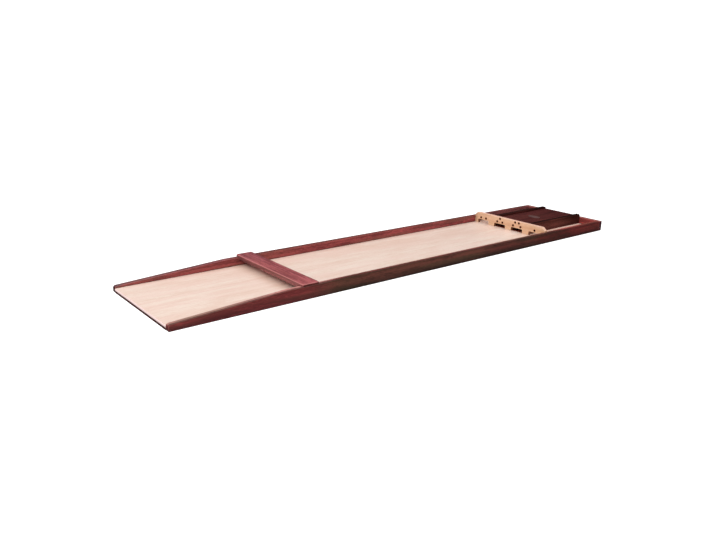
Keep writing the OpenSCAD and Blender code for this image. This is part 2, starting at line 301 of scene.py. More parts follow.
@dataclass(frozen=True)
class Marks:
    """One layer of marks in a surface: their length and width in millimetres, and how fine they are."""

    long_mm: float
    wide_mm: float
    detail: float = 2.0
    roughness: float = 0.5

    def draw(self, bench: Bench, place: Sequence[Number]) -> Wire:
        """Draws the marks.

        Args:
            bench: The material's tree.
            place: The point along the marks, beside them and into the piece, in millimetres.

        Returns:
            The marks, from 0 to 1 about the middle.
        """
        along, beside, deep = place
        spot = (along / self.long_mm, beside / self.wide_mm, deep / self.wide_mm)
        point = bench.node("ShaderNodeCombineXYZ", sockets=dict(enumerate(spot)))
        sockets = {
            "Vector": point, "Scale": 1.0, "Detail": self.detail, "Roughness": self.roughness
        }
        return bench.node("ShaderNodeTexNoise", {"noise_dimensions": "3D"}, sockets)


@dataclass(frozen=True)
class Surface:
    """What changes over a surface: its colour, its roughness and its height in millimetres."""

    colour: Paint
    roughness: Number
    height: Number


@dataclass(frozen=True)
class Varnish:
    """What lies over a surface and is the same all over it."""

    coat: float = 0.0
    coat_roughness: float = 0.3
    shine: float = 0.35
    metallic: float = 0.0

    def close(self, bench: Bench, surface: Surface) -> None:
        """Ends a material's tree with its shader.

        Args:
            bench: The material's tree.
            surface: What feeds the shader.
        """
        sockets = {
            "Base Color": surface.colour,
            "Roughness": surface.roughness,
            "Metallic": self.metallic,
            "Specular IOR Level": self.shine,
            "Coat Weight": self.coat,
            "Coat Roughness": self.coat_roughness,
        }
        if isinstance(surface.height, Wire):
            relief = {"Strength": 1.0, "Distance": MM, "Height": surface.height}
            sockets["Normal"] = bench.node("ShaderNodeBump", sockets=relief)
        shader = bench.node("ShaderNodeBsdfPrincipled", sockets=sockets)
        bench.add("ShaderNodeOutputMaterial", sockets={"Surface": shader})


@dataclass(frozen=True)
class Fade:
    """A tint that changes along the board: its first tint, and where each later one takes over.

    Each later tint comes after the stretch of the board, in millimetres, over which it takes over.
    """

    first: Colour
    later: tuple[tuple[Span, Colour], ...]

    def lay(self, bench: Bench, colour: Paint) -> Wire:
        """Lays the tint over a colour.

        Args:
            bench: The material's tree.
            colour: The colour below.

        Returns:
            The coated colour.
        """
        _, along, _ = bench.place_mm()
        coat: Paint = self.first
        for stretch, tint in self.later:
            coat = bench.blend(coat, tint, along.rise(stretch))
        return bench.tint(colour, coat)

    def cover(self, bench: Bench, surface: Surface) -> Surface:
        """Lays the tint over a whole surface."""
        return replace(surface, colour=self.lay(bench, surface.colour))


def corners_mm(node: str) -> tuple[Vector, Vector]:
    """The lowest and highest corner of a CAD node in millimetres."""
    low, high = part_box(node)
    return low / MM, high / MM


@dataclass(frozen=True)
class Plank:
    """A wooden piece as it was sawn: its CAD node, its grain and where the heart of the tree lay.

    A plank with a stave width is glued up from staves of that width, each with a cut of its own.
    """

    node: str
    grain: Grain
    heart_beside: float = 30.0
    heart_below: float = 85.0
    top: Optional[Callable[[Wire], Wire]] = None
    stave_mm: float = 0.0
    eased_mm: float = 1.0

    def edge_distance(self, bench: Bench) -> Wire:
        """Measures how far a point of the surface is from the piece's nearest edge.

        Args:
            bench: The material's tree.

        Returns:
            The distance in millimetres.
        """
        low, high = corners_mm(self.node)
        place = bench.place_mm()
        highs: list[Number] = list(high)
        if self.top is not None:
            highs[2] = self.top(place[1])
        a, b, c = [(at - low[i]).least(highs[i] - at) for i, at in enumerate(place)]
        return a.least(b).most(a.most(b).least(c))

    def ease_edges(self) -> None:
        """Rounds the sharp edges a little, as sandpaper leaves them."""
        if not self.eased_mm:
            return
        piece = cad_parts[self.node]
        joined = piece.modifiers.new("joined_faces", "WELD")
        joined.merge_threshold = JOIN_DISTANCE
        plain = piece.modifiers.new("plain_faces", "DECIMATE")
        plain.decimate_type = "DISSOLVE"
        plain.angle_limit = math.radians(FLAT_DEG)
        eased = piece.modifiers.new("eased_edges", "BEVEL")
        eased.width = self.eased_mm * MM
        eased.segments = EASED_STEPS
        eased.limit_method = "ANGLE"
        eased.angle_limit = math.radians(SHARP_DEG)
        eased.use_clamp_overlap = False
        level = piece.modifiers.new("level_faces", "WEIGHTED_NORMAL")
        level.keep_sharp = True


@dataclass(frozen=True)
class Cut:
    """Where a point of a plank lies in the wood: along the grain, beside its middle and above it.

    The chance is the stave's own number, and the seam shows how near the joint of two staves is.
    """

    spot: tuple[Wire, Wire, Wire]
    chance: Number = MIDDLE
    seam: Number = 0.0


@dataclass(frozen=True)
class Figure:
    """Every layer of marks that shows on a planed board."""

    ring: Wire
    band: Wire
    streak: Wire
    cloud: Wire
    fleck: Wire
    pores: Wire
    drift: Wire
    chance: Number
    seam: Number


@dataclass(frozen=True)
class Timber:
    """A wood with its stain: the colours and sizes of all that shows on a planed board.

    The names in capitals are the same for every wood: its layers of marks, how staves are cut and
    joined, where a face counts as end or as a top that takes painted shade, and what each mark adds to
    roughness and relief.
    """

    WANDER = Marks(420.0, 110.0, detail=1.0)
    WANDER_MM = 22.0
    RIPPLE = Marks(60.0, 9.0)
    RIPPLE_MM = 1.6
    RING_SHARPNESS = 2.5
    RING_MEAN = 0.28
    BAND_LONG_MM = 1400.0
    STREAK = Marks(190.0, 2.6, detail=4.0, roughness=0.6)
    DRIFT = Marks(330.0, 14.0, detail=3.0)
    DRIFT_ASIDE_MM = 98.0
    DRIFT_SPAN = (0.42, 0.62)
    FLECK = Marks(18.0, 3.4)
    PORES = Marks(8.0, 0.42, detail=1.0)
    PORES_SPAN = (0.56, 0.68)
    PATCHES = Marks(14.0, 14.0, detail=3.0)
    PATCHES_LEAST = 0.2
    PATCHES_SWING = 1.6

    STAVE_ALONG_MM = 900.0
    STAVE_ASIDE_MM = 160.0
    STAVE_TONE = 0.35
    SEAM_MM = (0.3, 0.1)
    SEAM_DARKNESS = 0.6

    TONE_SPAN = (0.0, 1.0)
    END_FACE = (0.6, 0.9)
    TOP_FACE = (0.5, 0.95)
    EDGE_WEAR_HIGHLIGHT_PART = 1 / 8

    STREAK_ROUGHNESS = 0.16
    PORE_ROUGHNESS = 0.12
    END_ROUGHNESS = 0.15
    RUBBED_SMOOTHNESS = 0.06
    STREAK_RELIEF = 0.03
    PORE_RELIEF = 0.05
    RING_RELIEF = 0.012
    SEAM_RELIEF = 0.04

    name: str
    early: Colour
    late: Colour
    drift: Colour
    pore: Colour
    edge_wear_highlight: Colour
    varnish: Varnish
    drift_share: float = 0.5
    ring_mm: float = 2.4
    ring_strength: float = 0.25
    band_mm: float = 16.0
    band_strength: float = 1.6
    streak_strength: float = 1.1
    cloud: Marks = Marks(140.0, 17.0, detail=3.0)
    cloud_strength: float = 1.5
    pore_strength: float = 0.5
    fleck_strength: float = 0.7
    roughness: float = 0.42
    end_darkness: float = 0.45
    # Share of painted shade on faces that look up.
    top_painted_shade: float = 0.0
    edge_wear_highlight_mm: float = 2.2
    edge_wear_highlight_strength: float = 0.5

    def stained(self, coat: Colour) -> "Timber":
        """Stains the wood once more, lighter, deeper or in another colour.

        Args:
            coat: What its colours are multiplied by.

        Returns:
            The other wood.
        """
        coated = {}
        for name in ("early", "late", "drift"):
            coated[name] = tuple(part * share for part, share in zip(getattr(self, name), coat))
        return replace(self, **coated)

    def sawn(self, bench: Bench, plank: Plank) -> Cut:
        """Finds where the surface of a plank lies in the wood that it was sawn from.

        Args:
            bench: The material's tree.
            plank: The piece of wood.

        Returns:
            The point in the wood, of its stave if the plank is glued up from staves.
        """
        length, width, depth = plank.grain.value
        place = bench.place_mm()
        low, high = corners_mm(plank.node)
        along = place[length]
        beside = place[width] - (low[width] + high[width]) / 2
        deep = place[depth] - (low[depth] + high[depth]) / 2
        if not plank.stave_mm:
            return Cut((along, beside, deep))
        staves = (place[width] - low[width]) / plank.stave_mm
        chance = bench.chance(staves.whole() + MIDDLE)
        along = along + chance * self.STAVE_ALONG_MM
        beside = beside + (chance - MIDDLE) * self.STAVE_ASIDE_MM
        joint = staves.fraction()
        seam = (joint.least(1.0 - joint) * plank.stave_mm).rise(self.SEAM_MM)
        return Cut((along, beside, deep), chance, seam)

    def growth(self, bench: Bench, plank: Plank, spot: tuple[Wire, Wire, Wire]) -> tuple[Wire, Wire]:
        """Draws what the tree grew year by year around its heart.

        Args:
            bench: The material's tree.
            plank: The piece of wood.
            spot: The point in the wood.

        Returns:
            The yearly rings, and the wider bands of them.
        """
        along, beside, deep = spot
        wander = self.WANDER.draw(bench, spot) * self.WANDER_MM
        ripple = self.RIPPLE.draw(bench, spot) * self.RIPPLE_MM
        aside = beside - plank.heart_beside
        radius = aside.hypotenuse(deep + plank.heart_below) + wander + ripple
        ring = (radius / self.ring_mm).fraction() ** self.RING_SHARPNESS
        return ring, Marks(self.band_mm, self.BAND_LONG_MM).draw(bench, (radius, along, 0.0))

    def figure(self, bench: Bench, plank: Plank) -> Figure:
        """Draws every layer of marks in the wood of a plank.

        Args:
            bench: The material's tree.
            plank: The piece of wood.

        Returns:
            The marks.
        """
        cut = self.sawn(bench, plank)
        along, beside, deep = cut.spot
        elsewhere = (along, beside + self.DRIFT_ASIDE_MM, deep)
        ring, band = self.growth(bench, plank, cut.spot)
        return Figure(
            ring=ring,
            band=band,
            streak=self.STREAK.draw(bench, cut.spot),
            cloud=self.cloud.draw(bench, cut.spot),
            fleck=self.FLECK.draw(bench, cut.spot),
            pores=self.PORES.draw(bench, cut.spot).rise(self.PORES_SPAN),
            drift=self.DRIFT.draw(bench, elsewhere).rise(self.DRIFT_SPAN),
            chance=cut.chance,
            seam=cut.seam,
        )

    def tone(self, figure: Figure) -> Wire:
        """How far the wood has turned from its early to its late colour."""
        return (
            MIDDLE
            + (figure.band - MIDDLE) * self.band_strength
            + (figure.ring - self.RING_MEAN) * self.ring_strength
            + (figure.streak - MIDDLE) * self.streak_strength
            + (figure.cloud - MIDDLE) * self.cloud_strength
            + (figure.fleck - MIDDLE) * self.fleck_strength
            + (figure.chance - MIDDLE) * self.STAVE_TONE
        )

    def edge_wear_highlights(self, bench: Bench, plank: Plank) -> Wire:
        """Finds where hands and use have rubbed the edges of a plank, with a highlight painted along them.

        Args:
            bench: The material's tree.
            plank: The piece of wood.

        Returns:
            How much of the edge colour shows: rubbed wood with a painted highlight.
        """
        low, high = corners_mm(plank.node)
        patchy = self.PATCHES.draw(bench, bench.place_mm()) * self.PATCHES_SWING + self.PATCHES_LEAST
        edge_wear_highlight_mm = min(self.edge_wear_highlight_mm, min(high - low) * self.EDGE_WEAR_HIGHLIGHT_PART)
        return (plank.edge_distance(bench) / patchy).rise((edge_wear_highlight_mm, 0.0)) * self.edge_wear_highlight_strength

    def surface(self, bench: Bench, plank: Plank) -> Surface:
        """Draws the wood of one plank.

        Args:
            bench: The material's tree.
            plank: The piece of wood.

        Returns:
            Its colour, roughness and height.
        """
        figure = self.figure(bench, plank)
        colour = bench.blend(self.early, self.late, self.tone(figure).rise(self.TONE_SPAN))
        colour = bench.blend(colour, self.drift, figure.drift * self.drift_share)
        dark = (figure.pores * self.pore_strength).most(figure.seam * self.SEAM_DARKNESS)
        colour = bench.blend(colour, self.pore, dark)

        faces = bench.facing()
        end = abs(faces[plank.grain.value[0]]).rise(self.END_FACE)
        colour = bench.blend(colour, self.pore, end * self.end_darkness)
        # Paints shade on faces that look up.
        if self.top_painted_shade:
            colour = bench.blend(colour, self.pore, faces[2].rise(self.TOP_FACE) * self.top_painted_shade)
        # The edges are partly rubbed and partly carry a painted highlight.
        worn_highlit_edges = self.edge_wear_highlights(bench, plank)
        colour = bench.blend(colour, self.edge_wear_highlight, worn_highlit_edges)

        roughness = (
            self.roughness
            + (figure.streak - MIDDLE) * self.STREAK_ROUGHNESS
            + figure.pores * self.PORE_ROUGHNESS
            + end * self.END_ROUGHNESS
            - worn_highlit_edges * self.RUBBED_SMOOTHNESS
        )
        height = (
            figure.streak * self.STREAK_RELIEF
            - figure.pores * self.PORE_RELIEF
            - figure.ring * self.RING_RELIEF
            - figure.seam * self.SEAM_RELIEF
        )
        return Surface(colour, roughness, height)


def new_material(name: str) -> tuple[bpy.types.Material, Bench]:
    """Starts a material.

    Args:
        name: Its name.

    Returns:
        The material and the bench with its empty tree.
    """
    material = bpy.data.materials.new(name)
    material.use_nodes = True
    return material, Bench(material.node_tree)


@dataclass(frozen=True)
class SmoothFinish:
    """A finish of two shades without grain, with fine marks in its sheen and its height."""

    name: str
    dark: Colour
    light: Colour
    clouds: Marks
    marks: Marks
    shades: Span
    roughness: float
    varnish: Varnish
    marks_share: float = 0.0
    swing: float = 0.3
    relief_mm: float = 0.01

    def material(self) -> bpy.types.Material:
        """Makes the finish.

        Returns:
            Its material.
        """
        material, bench = new_material(self.name)
        place = bench.place_mm()
        marks = self.marks.draw(bench, place)
        shade = self.clouds.draw(bench, place) + (marks - MIDDLE) * self.marks_share
        colour = bench.blend(self.dark, self.light, shade.rise(self.shades))
        roughness = self.roughness + (marks - MIDDLE) * self.swing
        self.varnish.close(bench, Surface(colour, roughness, marks * self.relief_mm))
        return material


def dress(node: str, material: bpy.types.Material) -> None:
    """Gives a CAD node its material.

    Args:
        node: The node's name.
        material: What fills all its slots.
    """
    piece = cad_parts[node]
    for slot in piece.material_slots:
        slot.material = material
    LOG.info("%s is finished in %s", node, material.name)


def dress_plank(plank: Plank, timber: Timber, refine: Optional[Refinement] = None) -> None:
    """Gives a wooden CAD node its own cut of a timber.

    Args:
        plank: The piece.
        timber: What it is sawn from.
        refine: Changes the surface further before the varnish goes on.
    """
    material, bench = new_material(f"{timber.name}_{plank.node}")
    surface = timber.surface(bench, plank)
    if refine is not None:
        surface = refine(bench, surface)
    timber.varnish.close(bench, surface)
    dress(plank.node, material)
    plank.ease_edges()


RED_STAIN = Timber(
    name="red_stained_wood",
    early=(0.30, 0.052, 0.047),
    late=(0.135, 0.024, 0.022),
    drift=(0.17, 0.056, 0.038),
    pore=(0.06, 0.012, 0.010),
    edge_wear_highlight=(0.36, 0.13, 0.11),
    varnish=Varnish(shine=0.2),
    band_strength=2.4,
    streak_strength=1.9,
    cloud_strength=2.4,
    fleck_strength=1.4,
    top_painted_shade=0.1,
    end_darkness=0.55,
)
# The left rail: the red stain painted lighter and greyer, as painted light and sheen on its faces.
LEFT_RAIL_PAINTED_LIGHT: Colour = (1.33, 1.64, 1.80)
LEFT_RAIL_LIT_STAIN = replace(
    RED_STAIN.stained(LEFT_RAIL_PAINTED_LIGHT),
    varnish=Varnish(shine=0.07),
    top_painted_shade=0.6,
    end_darkness=0.92,
    edge_wear_highlight_strength=0.25,
)
CROSSBAR_STAIN = Timber(
    name="crossbar_wood",
    early=(0.44, 0.115, 0.125),
    late=(0.19, 0.044, 0.048),
    drift=(0.34, 0.090, 0.084),
    pore=(0.10, 0.020, 0.020),
    edge_wear_highlight=(0.60, 0.23, 0.22),
    varnish=Varnish(shine=0.2),
    band_strength=2.4,
    streak_strength=2.4,
    cloud=Marks(140.0, 9.0, detail=3.0),
    cloud_strength=3.4,
    fleck_strength=2.4,
    end_darkness=0.2,
    edge_wear_highlight_mm=1.2,
)
DARK_STAIN = Timber(
    name="dark_stained_wood",
    early=(0.055, 0.016, 0.014),
    late=(0.022, 0.007, 0.006),
    drift=(0.034, 0.014, 0.010),
    pore=(0.010, 0.004, 0.003),
    edge_wear_highlight=(0.09, 0.035, 0.028),
    varnish=Varnish(shine=0.07),
)
COVER_STAIN = Timber(
    name="cover_wood",
    early=(0.120, 0.030, 0.027),
    late=(0.048, 0.011, 0.011),
    drift=(0.082, 0.024, 0.019),
    pore=(0.020, 0.006, 0.005),
    edge_wear_highlight=(0.16, 0.055, 0.045),
    varnish=Varnish(shine=0.03),
)
BAY_STAIN = Timber(
    name="bay_wood",
    early=(0.21, 0.068, 0.052),
    late=(0.10, 0.032, 0.024),
    drift=(0.14, 0.052, 0.036),
    pore=(0.022, 0.006, 0.005),
    edge_wear_highlight=(0.20, 0.070, 0.055),
    varnish=Varnish(shine=0.03),
    top_painted_shade=0.9,
    edge_wear_highlight_strength=0.2,
)
CLEAR_LACQUER = Varnish(coat=0.15, shine=0.3)
PALE_PANEL = Timber(
    name="pale_panel_wood",
    early=(0.845, 0.70, 0.61),
    late=(0.76, 0.555, 0.46),
    drift=(0.83, 0.62, 0.545),
    pore=(0.62, 0.42, 0.33),
    edge_wear_highlight=(0.88, 0.76, 0.68),
    varnish=CLEAR_LACQUER,
    ring_mm=3.1,
    ring_strength=0.35,
    band_mm=30.0,
    band_strength=2.2,
    streak_strength=2.3,
    cloud=Marks(140.0, 34.0, detail=3.0),
    cloud_strength=1.8,
    pore_strength=0.3,
    fleck_strength=1.3,
    roughness=0.4,
    end_darkness=0.0,
)
TAN_GATE = Timber(
    name="tan_gate_wood",
    early=(0.74, 0.50, 0.325),
    late=(0.60, 0.34, 0.19),
    drift=(0.72, 0.43, 0.28),
    pore=(0.40, 0.19, 0.09),
    edge_wear_highlight=(0.80, 0.62, 0.50),
    varnish=CLEAR_LACQUER,
    pore_strength=0.3,
    edge_wear_highlight_strength=0.8,
)
BEECH = Timber(
    name="beech",
    early=(0.60, 0.38, 0.22),
    late=(0.48, 0.27, 0.14),
    drift=(0.56, 0.34, 0.20),
    pore=(0.28, 0.13, 0.06),
    edge_wear_highlight=(0.68, 0.47, 0.30),
    varnish=Varnish(shine=0.3),
    roughness=0.6,
)
ZINC_PLATING = SmoothFinish(
    name="zinc_plating",
    dark=(0.46, 0.46, 0.46),
    light=(0.66, 0.67, 0.70),
    clouds=Marks(2.5, 2.5, detail=3.0),
    marks=Marks(0.4, 0.4),
    shades=(0.3, 0.65),
    roughness=0.34,
    varnish=Varnish(metallic=1.0, shine=0.5),
)
BADGE_GREY = SmoothFinish(
    name="badge_grey",
    dark=(0.080, 0.034, 0.032),
    light=(0.150, 0.078, 0.072),
    clouds=Marks(12.0, 12.0),
    marks=Marks(30.0, 0.3, detail=3.0),
    marks_share=1.0,
    shades=(0.2, 0.8),
    roughness=0.42,
    varnish=Varnish(shine=0.25),
)


@dataclass(frozen=True)
class PlayingField:
    """The pale panel that the discs slide on, with the battens that keep it flat."""

    plain_battens: tuple[str, ...] = ("crossbar_batten", "middle_batten", "gate_batten", "rear_batten")
    panel: Plank = Plank(
        "playing_panel", Grain.ALONG, heart_beside=70.0, heart_below=160.0, stave_mm=62.0, eased_mm=0.0
    )
    front_face: Span = (-0.5, -0.8)
    front_rounding: Span = (-0.05, -0.4)
    upper_face: Span = (0.5, 0.9)

    # Painted light on the front face.
    front_edge_painted_light: Colour = (0.93, 0.71, 0.68)
    # Painted shade on the rounded front edge.
    rounding: Colour = (0.84, 0.78, 0.82)
    # The foot of the front face is as dark as the strip below it.
    front_foot_dark: Colour = (0.042, 0.007, 0.008)
    front_foot_dark_mm: Span = (7.8, 7.2)
    strip_stain: Colour = (1.7, 0.8, 0.9)
    # Painted shade on the floor of the covered bays.
    covered: Colour = (0.30, 0.048, 0.022)
    covered_half_mm: Span = (83.0, 81.0)
    covered_from_mm: Span = (618.0, 624.0)
    bay_floor: Colour = (1.08, 0.94, 0.90)
    bay_from_mm: Span = (612.0, 632.0)
    # Painted shadow in front of and under the crossbar.
    bar_painted_shading: Colour = (0.94, 0.90, 0.86)
    bar_shadow_from_mm: Span = (-615.0, -578.0)
    bar_shadow_to_mm: Span = (-498.0, -518.0)

    def finish_ends(self, bench: Bench, surface: Surface) -> Surface:
        """Paints light on the front edge and paints shade on the floor of the two covered bays.

        The foot of the front edge is as dark as the strip below it. The rounded front edge carries painted
        shade, and a painted shadow lies on the wood in front of and under the crossbar.

        Args:
            bench: The material's tree.
            surface: The lacquered panel.

        Returns:
            The panel with both ends finished.
        """
        across, along, up = bench.place_mm()
        _, backwards, upwards = bench.facing()
        # Paints the crossbar's shadow on the panel.
        bar_shadow = along.rise(self.bar_shadow_from_mm) * along.rise(self.bar_shadow_to_mm)
        colour = bench.wash(surface.colour, self.bar_painted_shading, bar_shadow)
        # Paints shade on the rounded front edge.
        colour = bench.wash(colour, self.rounding, backwards.rise(self.front_rounding))
        # Paints light on the front face.
        front = backwards.rise(self.front_face)
        colour = bench.blend(colour, self.front_edge_painted_light, front)
        colour = bench.blend(colour, self.front_foot_dark, up.rise(self.front_foot_dark_mm) * front)
        bay = along.rise(self.bay_from_mm) * upwards.most(0.0)
        colour = bench.wash(colour, self.bay_floor, bay)
        # Paints shade on the floor under the cover.
        between = abs(across).rise(self.covered_half_mm) * along.rise(self.covered_from_mm)
        covered = between * upwards.rise(self.upper_face)
        return replace(surface, colour=bench.blend(colour, self.covered, covered))

    def build(self) -> None:
        """Dresses the panel and the battens under it."""
        dress_plank(self.panel, PALE_PANEL, self.finish_ends)
        strip = Plank("front_batten", Grain.ACROSS, eased_mm=0.0)
        dress_plank(strip, DARK_STAIN.stained(self.strip_stain))
        for batten in self.plain_battens:
            dress_plank(replace(strip, node=batten), DARK_STAIN)


@dataclass(frozen=True)
class SideRails:
    """The two red rails and the end wall between them."""

    left: Plank = Plank("left_rail", Grain.ALONG, heart_beside=40.0, heart_below=60.0, eased_mm=1.8)
    right: Plank = replace(left, node="right_rail", heart_beside=-55.0)
    wall: Plank = Plank("end_wall", Grain.ACROSS, heart_beside=45.0, heart_below=50.0, eased_mm=1.8)
    front_mm: float = 20.0
    full_mm: float = 42.0
    taper_mm: float = 377.0
    player_end_mm: float = -1000.0
    upper_face: Span = (0.4, 0.9)
    inner_face: Span = (0.4, 0.9)
    outer_face: Span = (-0.9, -0.4)
    front_face: Span = (-0.5, -0.9)
    end_face: Span = (0.5, 0.9)

    side_fade: Fade = Fade(
        (1.17, 1.04, 1.13),
        (
            ((-570.0, -410.0), (0.60, 1.09, 0.82)),
            ((200.0, 320.0), (0.51, 0.72, 0.58)),
            ((510.0, 570.0), (0.47, 0.45, 0.38)),
            ((690.0, 830.0), (0.74, 0.53, 0.50)),
        ),
    )
    # The top's first tint is a painted light grey sheen; the later ones change it along the board.
    top_sheen_fade: Fade = Fade(
        (2.05, 4.20, 4.20),
        (
            ((-570.0, -410.0), (0.73, 0.92, 0.86)),
            ((200.0, 320.0), (0.70, 0.90, 0.82)),
            ((630.0, 750.0), (1.50, 1.28, 1.20)),
        ),
    )
    bay_fade: Fade = Fade(WHITE, (((628.0, 640.0), (0.48, 0.70, 0.75)),))
    # The left top is painted a grey sheen, strongest along its low end.
    left_top_sheen_fade: Fade = Fade(
        (0.80, 1.60, 1.90),
        (
            ((-988.0, -968.0), (1.35, 2.05, 2.30)),
            ((-680.0, -440.0), (1.0, 1.20, 1.15)),
        ),
    )
    # The outer side is darker towards the table.
    height_tint: Colour = (0.42, 0.50, 0.54)
    height_tint_share: Span = (0.75, 0.0)
    crest: Colour = (0.76, 0.74, 0.68)
    crest_share: Span = (0.85, 0.94)
    # Painted highlight along the top's inner edge, and painted shade towards its outer edge.
    inner_painted_highlight: Colour = (1.12, 1.34, 1.32)
    outer_painted_shade: Colour = (0.30, 0.22, 0.21)
    highlight_to_shade_mm: Span = (190.0, 197.5)
    foot: Colour = (0.66, 0.84, 0.78)
    foot_mm: Span = (21.0, 15.0)
    nose_tint: Colour = (0.55, 0.55, 0.58)
    end_inner: Colour = (1.35, 1.02, 1.15)
    # The end wall's top is painted a lighter, greyer sheen.
    end_top_sheen: Colour = (1.50, 2.30, 2.30)
    end_grain: Colour = (0.50, 0.50, 0.75)
    end_left: Colour = (0.66, 1.02, 1.10)
    end_left_mm: Span = (-95.0, -103.0)

    def tint_and_light_right(self, bench: Bench, surface: Surface) -> Surface:
        """Tints the right rail along the board, on its outer side and its top.

        The side is darker towards the table and along its upper edge. The top carries a painted light
        grey sheen, a painted highlight along its inner edge and painted shade towards the outside.

        Args:
            bench: The material's tree.
            surface: The stained wood.

        Returns:
            The tinted wood with painted light and shade.
        """
        across, along, up = bench.place_mm()
        outwards, _, upwards = bench.facing()
        share = up / self.top_at(along)
        height_tint = bench.blend(WHITE, self.height_tint, share.rise(self.height_tint_share))
        height_tint = bench.blend(height_tint, self.crest, share.rise(self.crest_share))
        side = bench.tint(self.side_fade.lay(bench, surface.colour), height_tint)
        # Paints a highlight at the top's inner edge and shade towards its outer edge.
        shade_share = across.rise(self.highlight_to_shade_mm)
        top_highlight_and_shade = bench.blend(self.inner_painted_highlight, self.outer_painted_shade, shade_share)
        top = bench.tint(self.top_sheen_fade.lay(bench, surface.colour), top_highlight_and_shade)
        colour = bench.blend(surface.colour, side, outwards.rise(self.outer_face))
        return replace(surface, colour=bench.blend(colour, top, upwards.rise(self.upper_face)))

    def tint_and_light_left(self, bench: Bench, surface: Surface) -> Surface:
        """Paints a grey sheen on the left rail's top, most along its low end, and darkens its nose, its
        foot and its bay side.

        Args:
            bench: The material's tree.
            surface: The stained wood.

        Returns:
            The tinted wood with its painted sheen.
        """
        _, _, up = bench.place_mm()
        inwards, backwards, upwards = bench.facing()
        foot = bench.blend(WHITE, self.foot, up.rise(self.foot_mm))
        inner = bench.tint(self.bay_fade.lay(bench, surface.colour), foot)
        colour = bench.blend(surface.colour, inner, inwards.rise(self.inner_face))
        # Paints a grey sheen on the top.
        top = self.left_top_sheen_fade.lay(bench, colour)
        colour = bench.blend(colour, top, upwards.rise(self.upper_face))
        nose = backwards.rise(self.front_face)
        return replace(surface, colour=bench.wash(colour, self.nose_tint, nose))

    def tint_and_light_end(self, bench: Bench, surface: Surface) -> Surface:
        """Brightens the end wall's inner face, paints a lighter, greyer sheen on its top, and darkens its
        left part and its ends.

        Args:
            bench: The material's tree.
            surface: The stained wood.

        Returns:
            The tinted wood with its painted sheen.
        """
        across, _, _ = bench.place_mm()
        sideways, backwards, upwards = bench.facing()
        inner = bench.tint(surface.colour, self.end_inner)
        inner = bench.wash(inner, self.end_left, across.rise(self.end_left_mm))
        colour = bench.blend(surface.colour, inner, backwards.rise(self.front_face))
        # Paints a lighter, greyer sheen on the top.
        top = bench.tint(surface.colour, self.end_top_sheen)
        colour = bench.blend(colour, top, upwards.rise(self.upper_face))
        end = abs(sideways).rise(self.end_face)
        return replace(surface, colour=bench.wash(colour, self.end_grain, end))

    def top_at(self, y: Wire) -> Wire:
        """The height of a rail's top at a distance along the board."""
        slope = (self.full_mm - self.front_mm) / self.taper_mm
        return ((y - self.player_end_mm) * slope + self.front_mm).least(self.full_mm)

    def build(self) -> None:
        """Dresses the rails and the end wall."""
        dress_plank(replace(self.left, top=self.top_at), LEFT_RAIL_LIT_STAIN, self.tint_and_light_left)
        dress_plank(replace(self.right, top=self.top_at), RED_STAIN, self.tint_and_light_right)
        dress_plank(self.wall, RED_STAIN, self.tint_and_light_end)


@dataclass(frozen=True)
class Crossbar:
    """The bar across the rails, with the pegs that locate it."""

    bar: Plank = Plank("crossbar", Grain.ACROSS, heart_beside=20.0, heart_below=95.0, eased_mm=2.6)
    pegs: Plank = Plank("crossbar_pegs", Grain.UPRIGHT, heart_beside=2.0, heart_below=40.0, eased_mm=0.5)
    front_face: Span = (-0.8, -0.95)
    end_face: Span = (0.8, 0.95)
    # Painted shade on the front face.
    front_tint: Colour = (0.64, 0.74, 0.68)
    end_tint: Colour = (0.50, 0.38, 0.31)
    left_tint: Colour = (0.84, 0.87, 0.92)
    left_mm: Span = (-50.0, -150.0)
    # Painted highlight along the top's front and right edges.
    arris_highlight: Colour = (0.60, 0.23, 0.22)
    arris_highlight_mm: Span = (2.8, 1.4)
    arris_highlight_share: float = 0.5
    # Painted shade along the top's rear edge.
    rear_arris_shade: Colour = (0.09, 0.022, 0.027)
    rear_arris_shade_mm: Span = (5.0, 2.5)
    rear_arris_shade_share: float = 0.8

    def paint_highlight_and_shade(self, bench: Bench, surface: Surface) -> Surface:
        """Paints highlights along the top's front and right edges and shade on the front face and along
        the top's rear edge, and darkens the ends and the left.

        Args:
            bench: The material's tree.
            surface: The stained wood.

        Returns:
            The wood with painted highlights and shade.
        """
        low, high = corners_mm(self.bar.node)
        across, along, up = bench.place_mm()
        sideways, backwards, _ = bench.facing()
        # Paints shade on the front face.
        colour = bench.wash(surface.colour, self.front_tint, backwards.rise(self.front_face))
        colour = bench.wash(colour, self.end_tint, abs(sideways).rise(self.end_face))
        colour = bench.wash(colour, self.left_tint, across.rise(self.left_mm))
        # Paints a highlight along the top's front and right edges and shade along its rear edge.
        below = up - high.z
        bar_painted_shading = (along - low.y).hypotenuse(below).least((across - high.x).hypotenuse(below))
        bar_painted_shading = bar_painted_shading.rise(self.arris_highlight_mm) * self.arris_highlight_share
        colour = bench.blend(colour, self.arris_highlight, bar_painted_shading)
        rear = (along - high.y).hypotenuse(below).rise(self.rear_arris_shade_mm) * self.rear_arris_shade_share
        return replace(surface, colour=bench.blend(colour, self.rear_arris_shade, rear))

    def build(self) -> None:
        """Dresses the bar and its pegs."""
        dress_plank(self.bar, CROSSBAR_STAIN, self.paint_highlight_and_shade)
        dress_plank(self.pegs, BEECH)


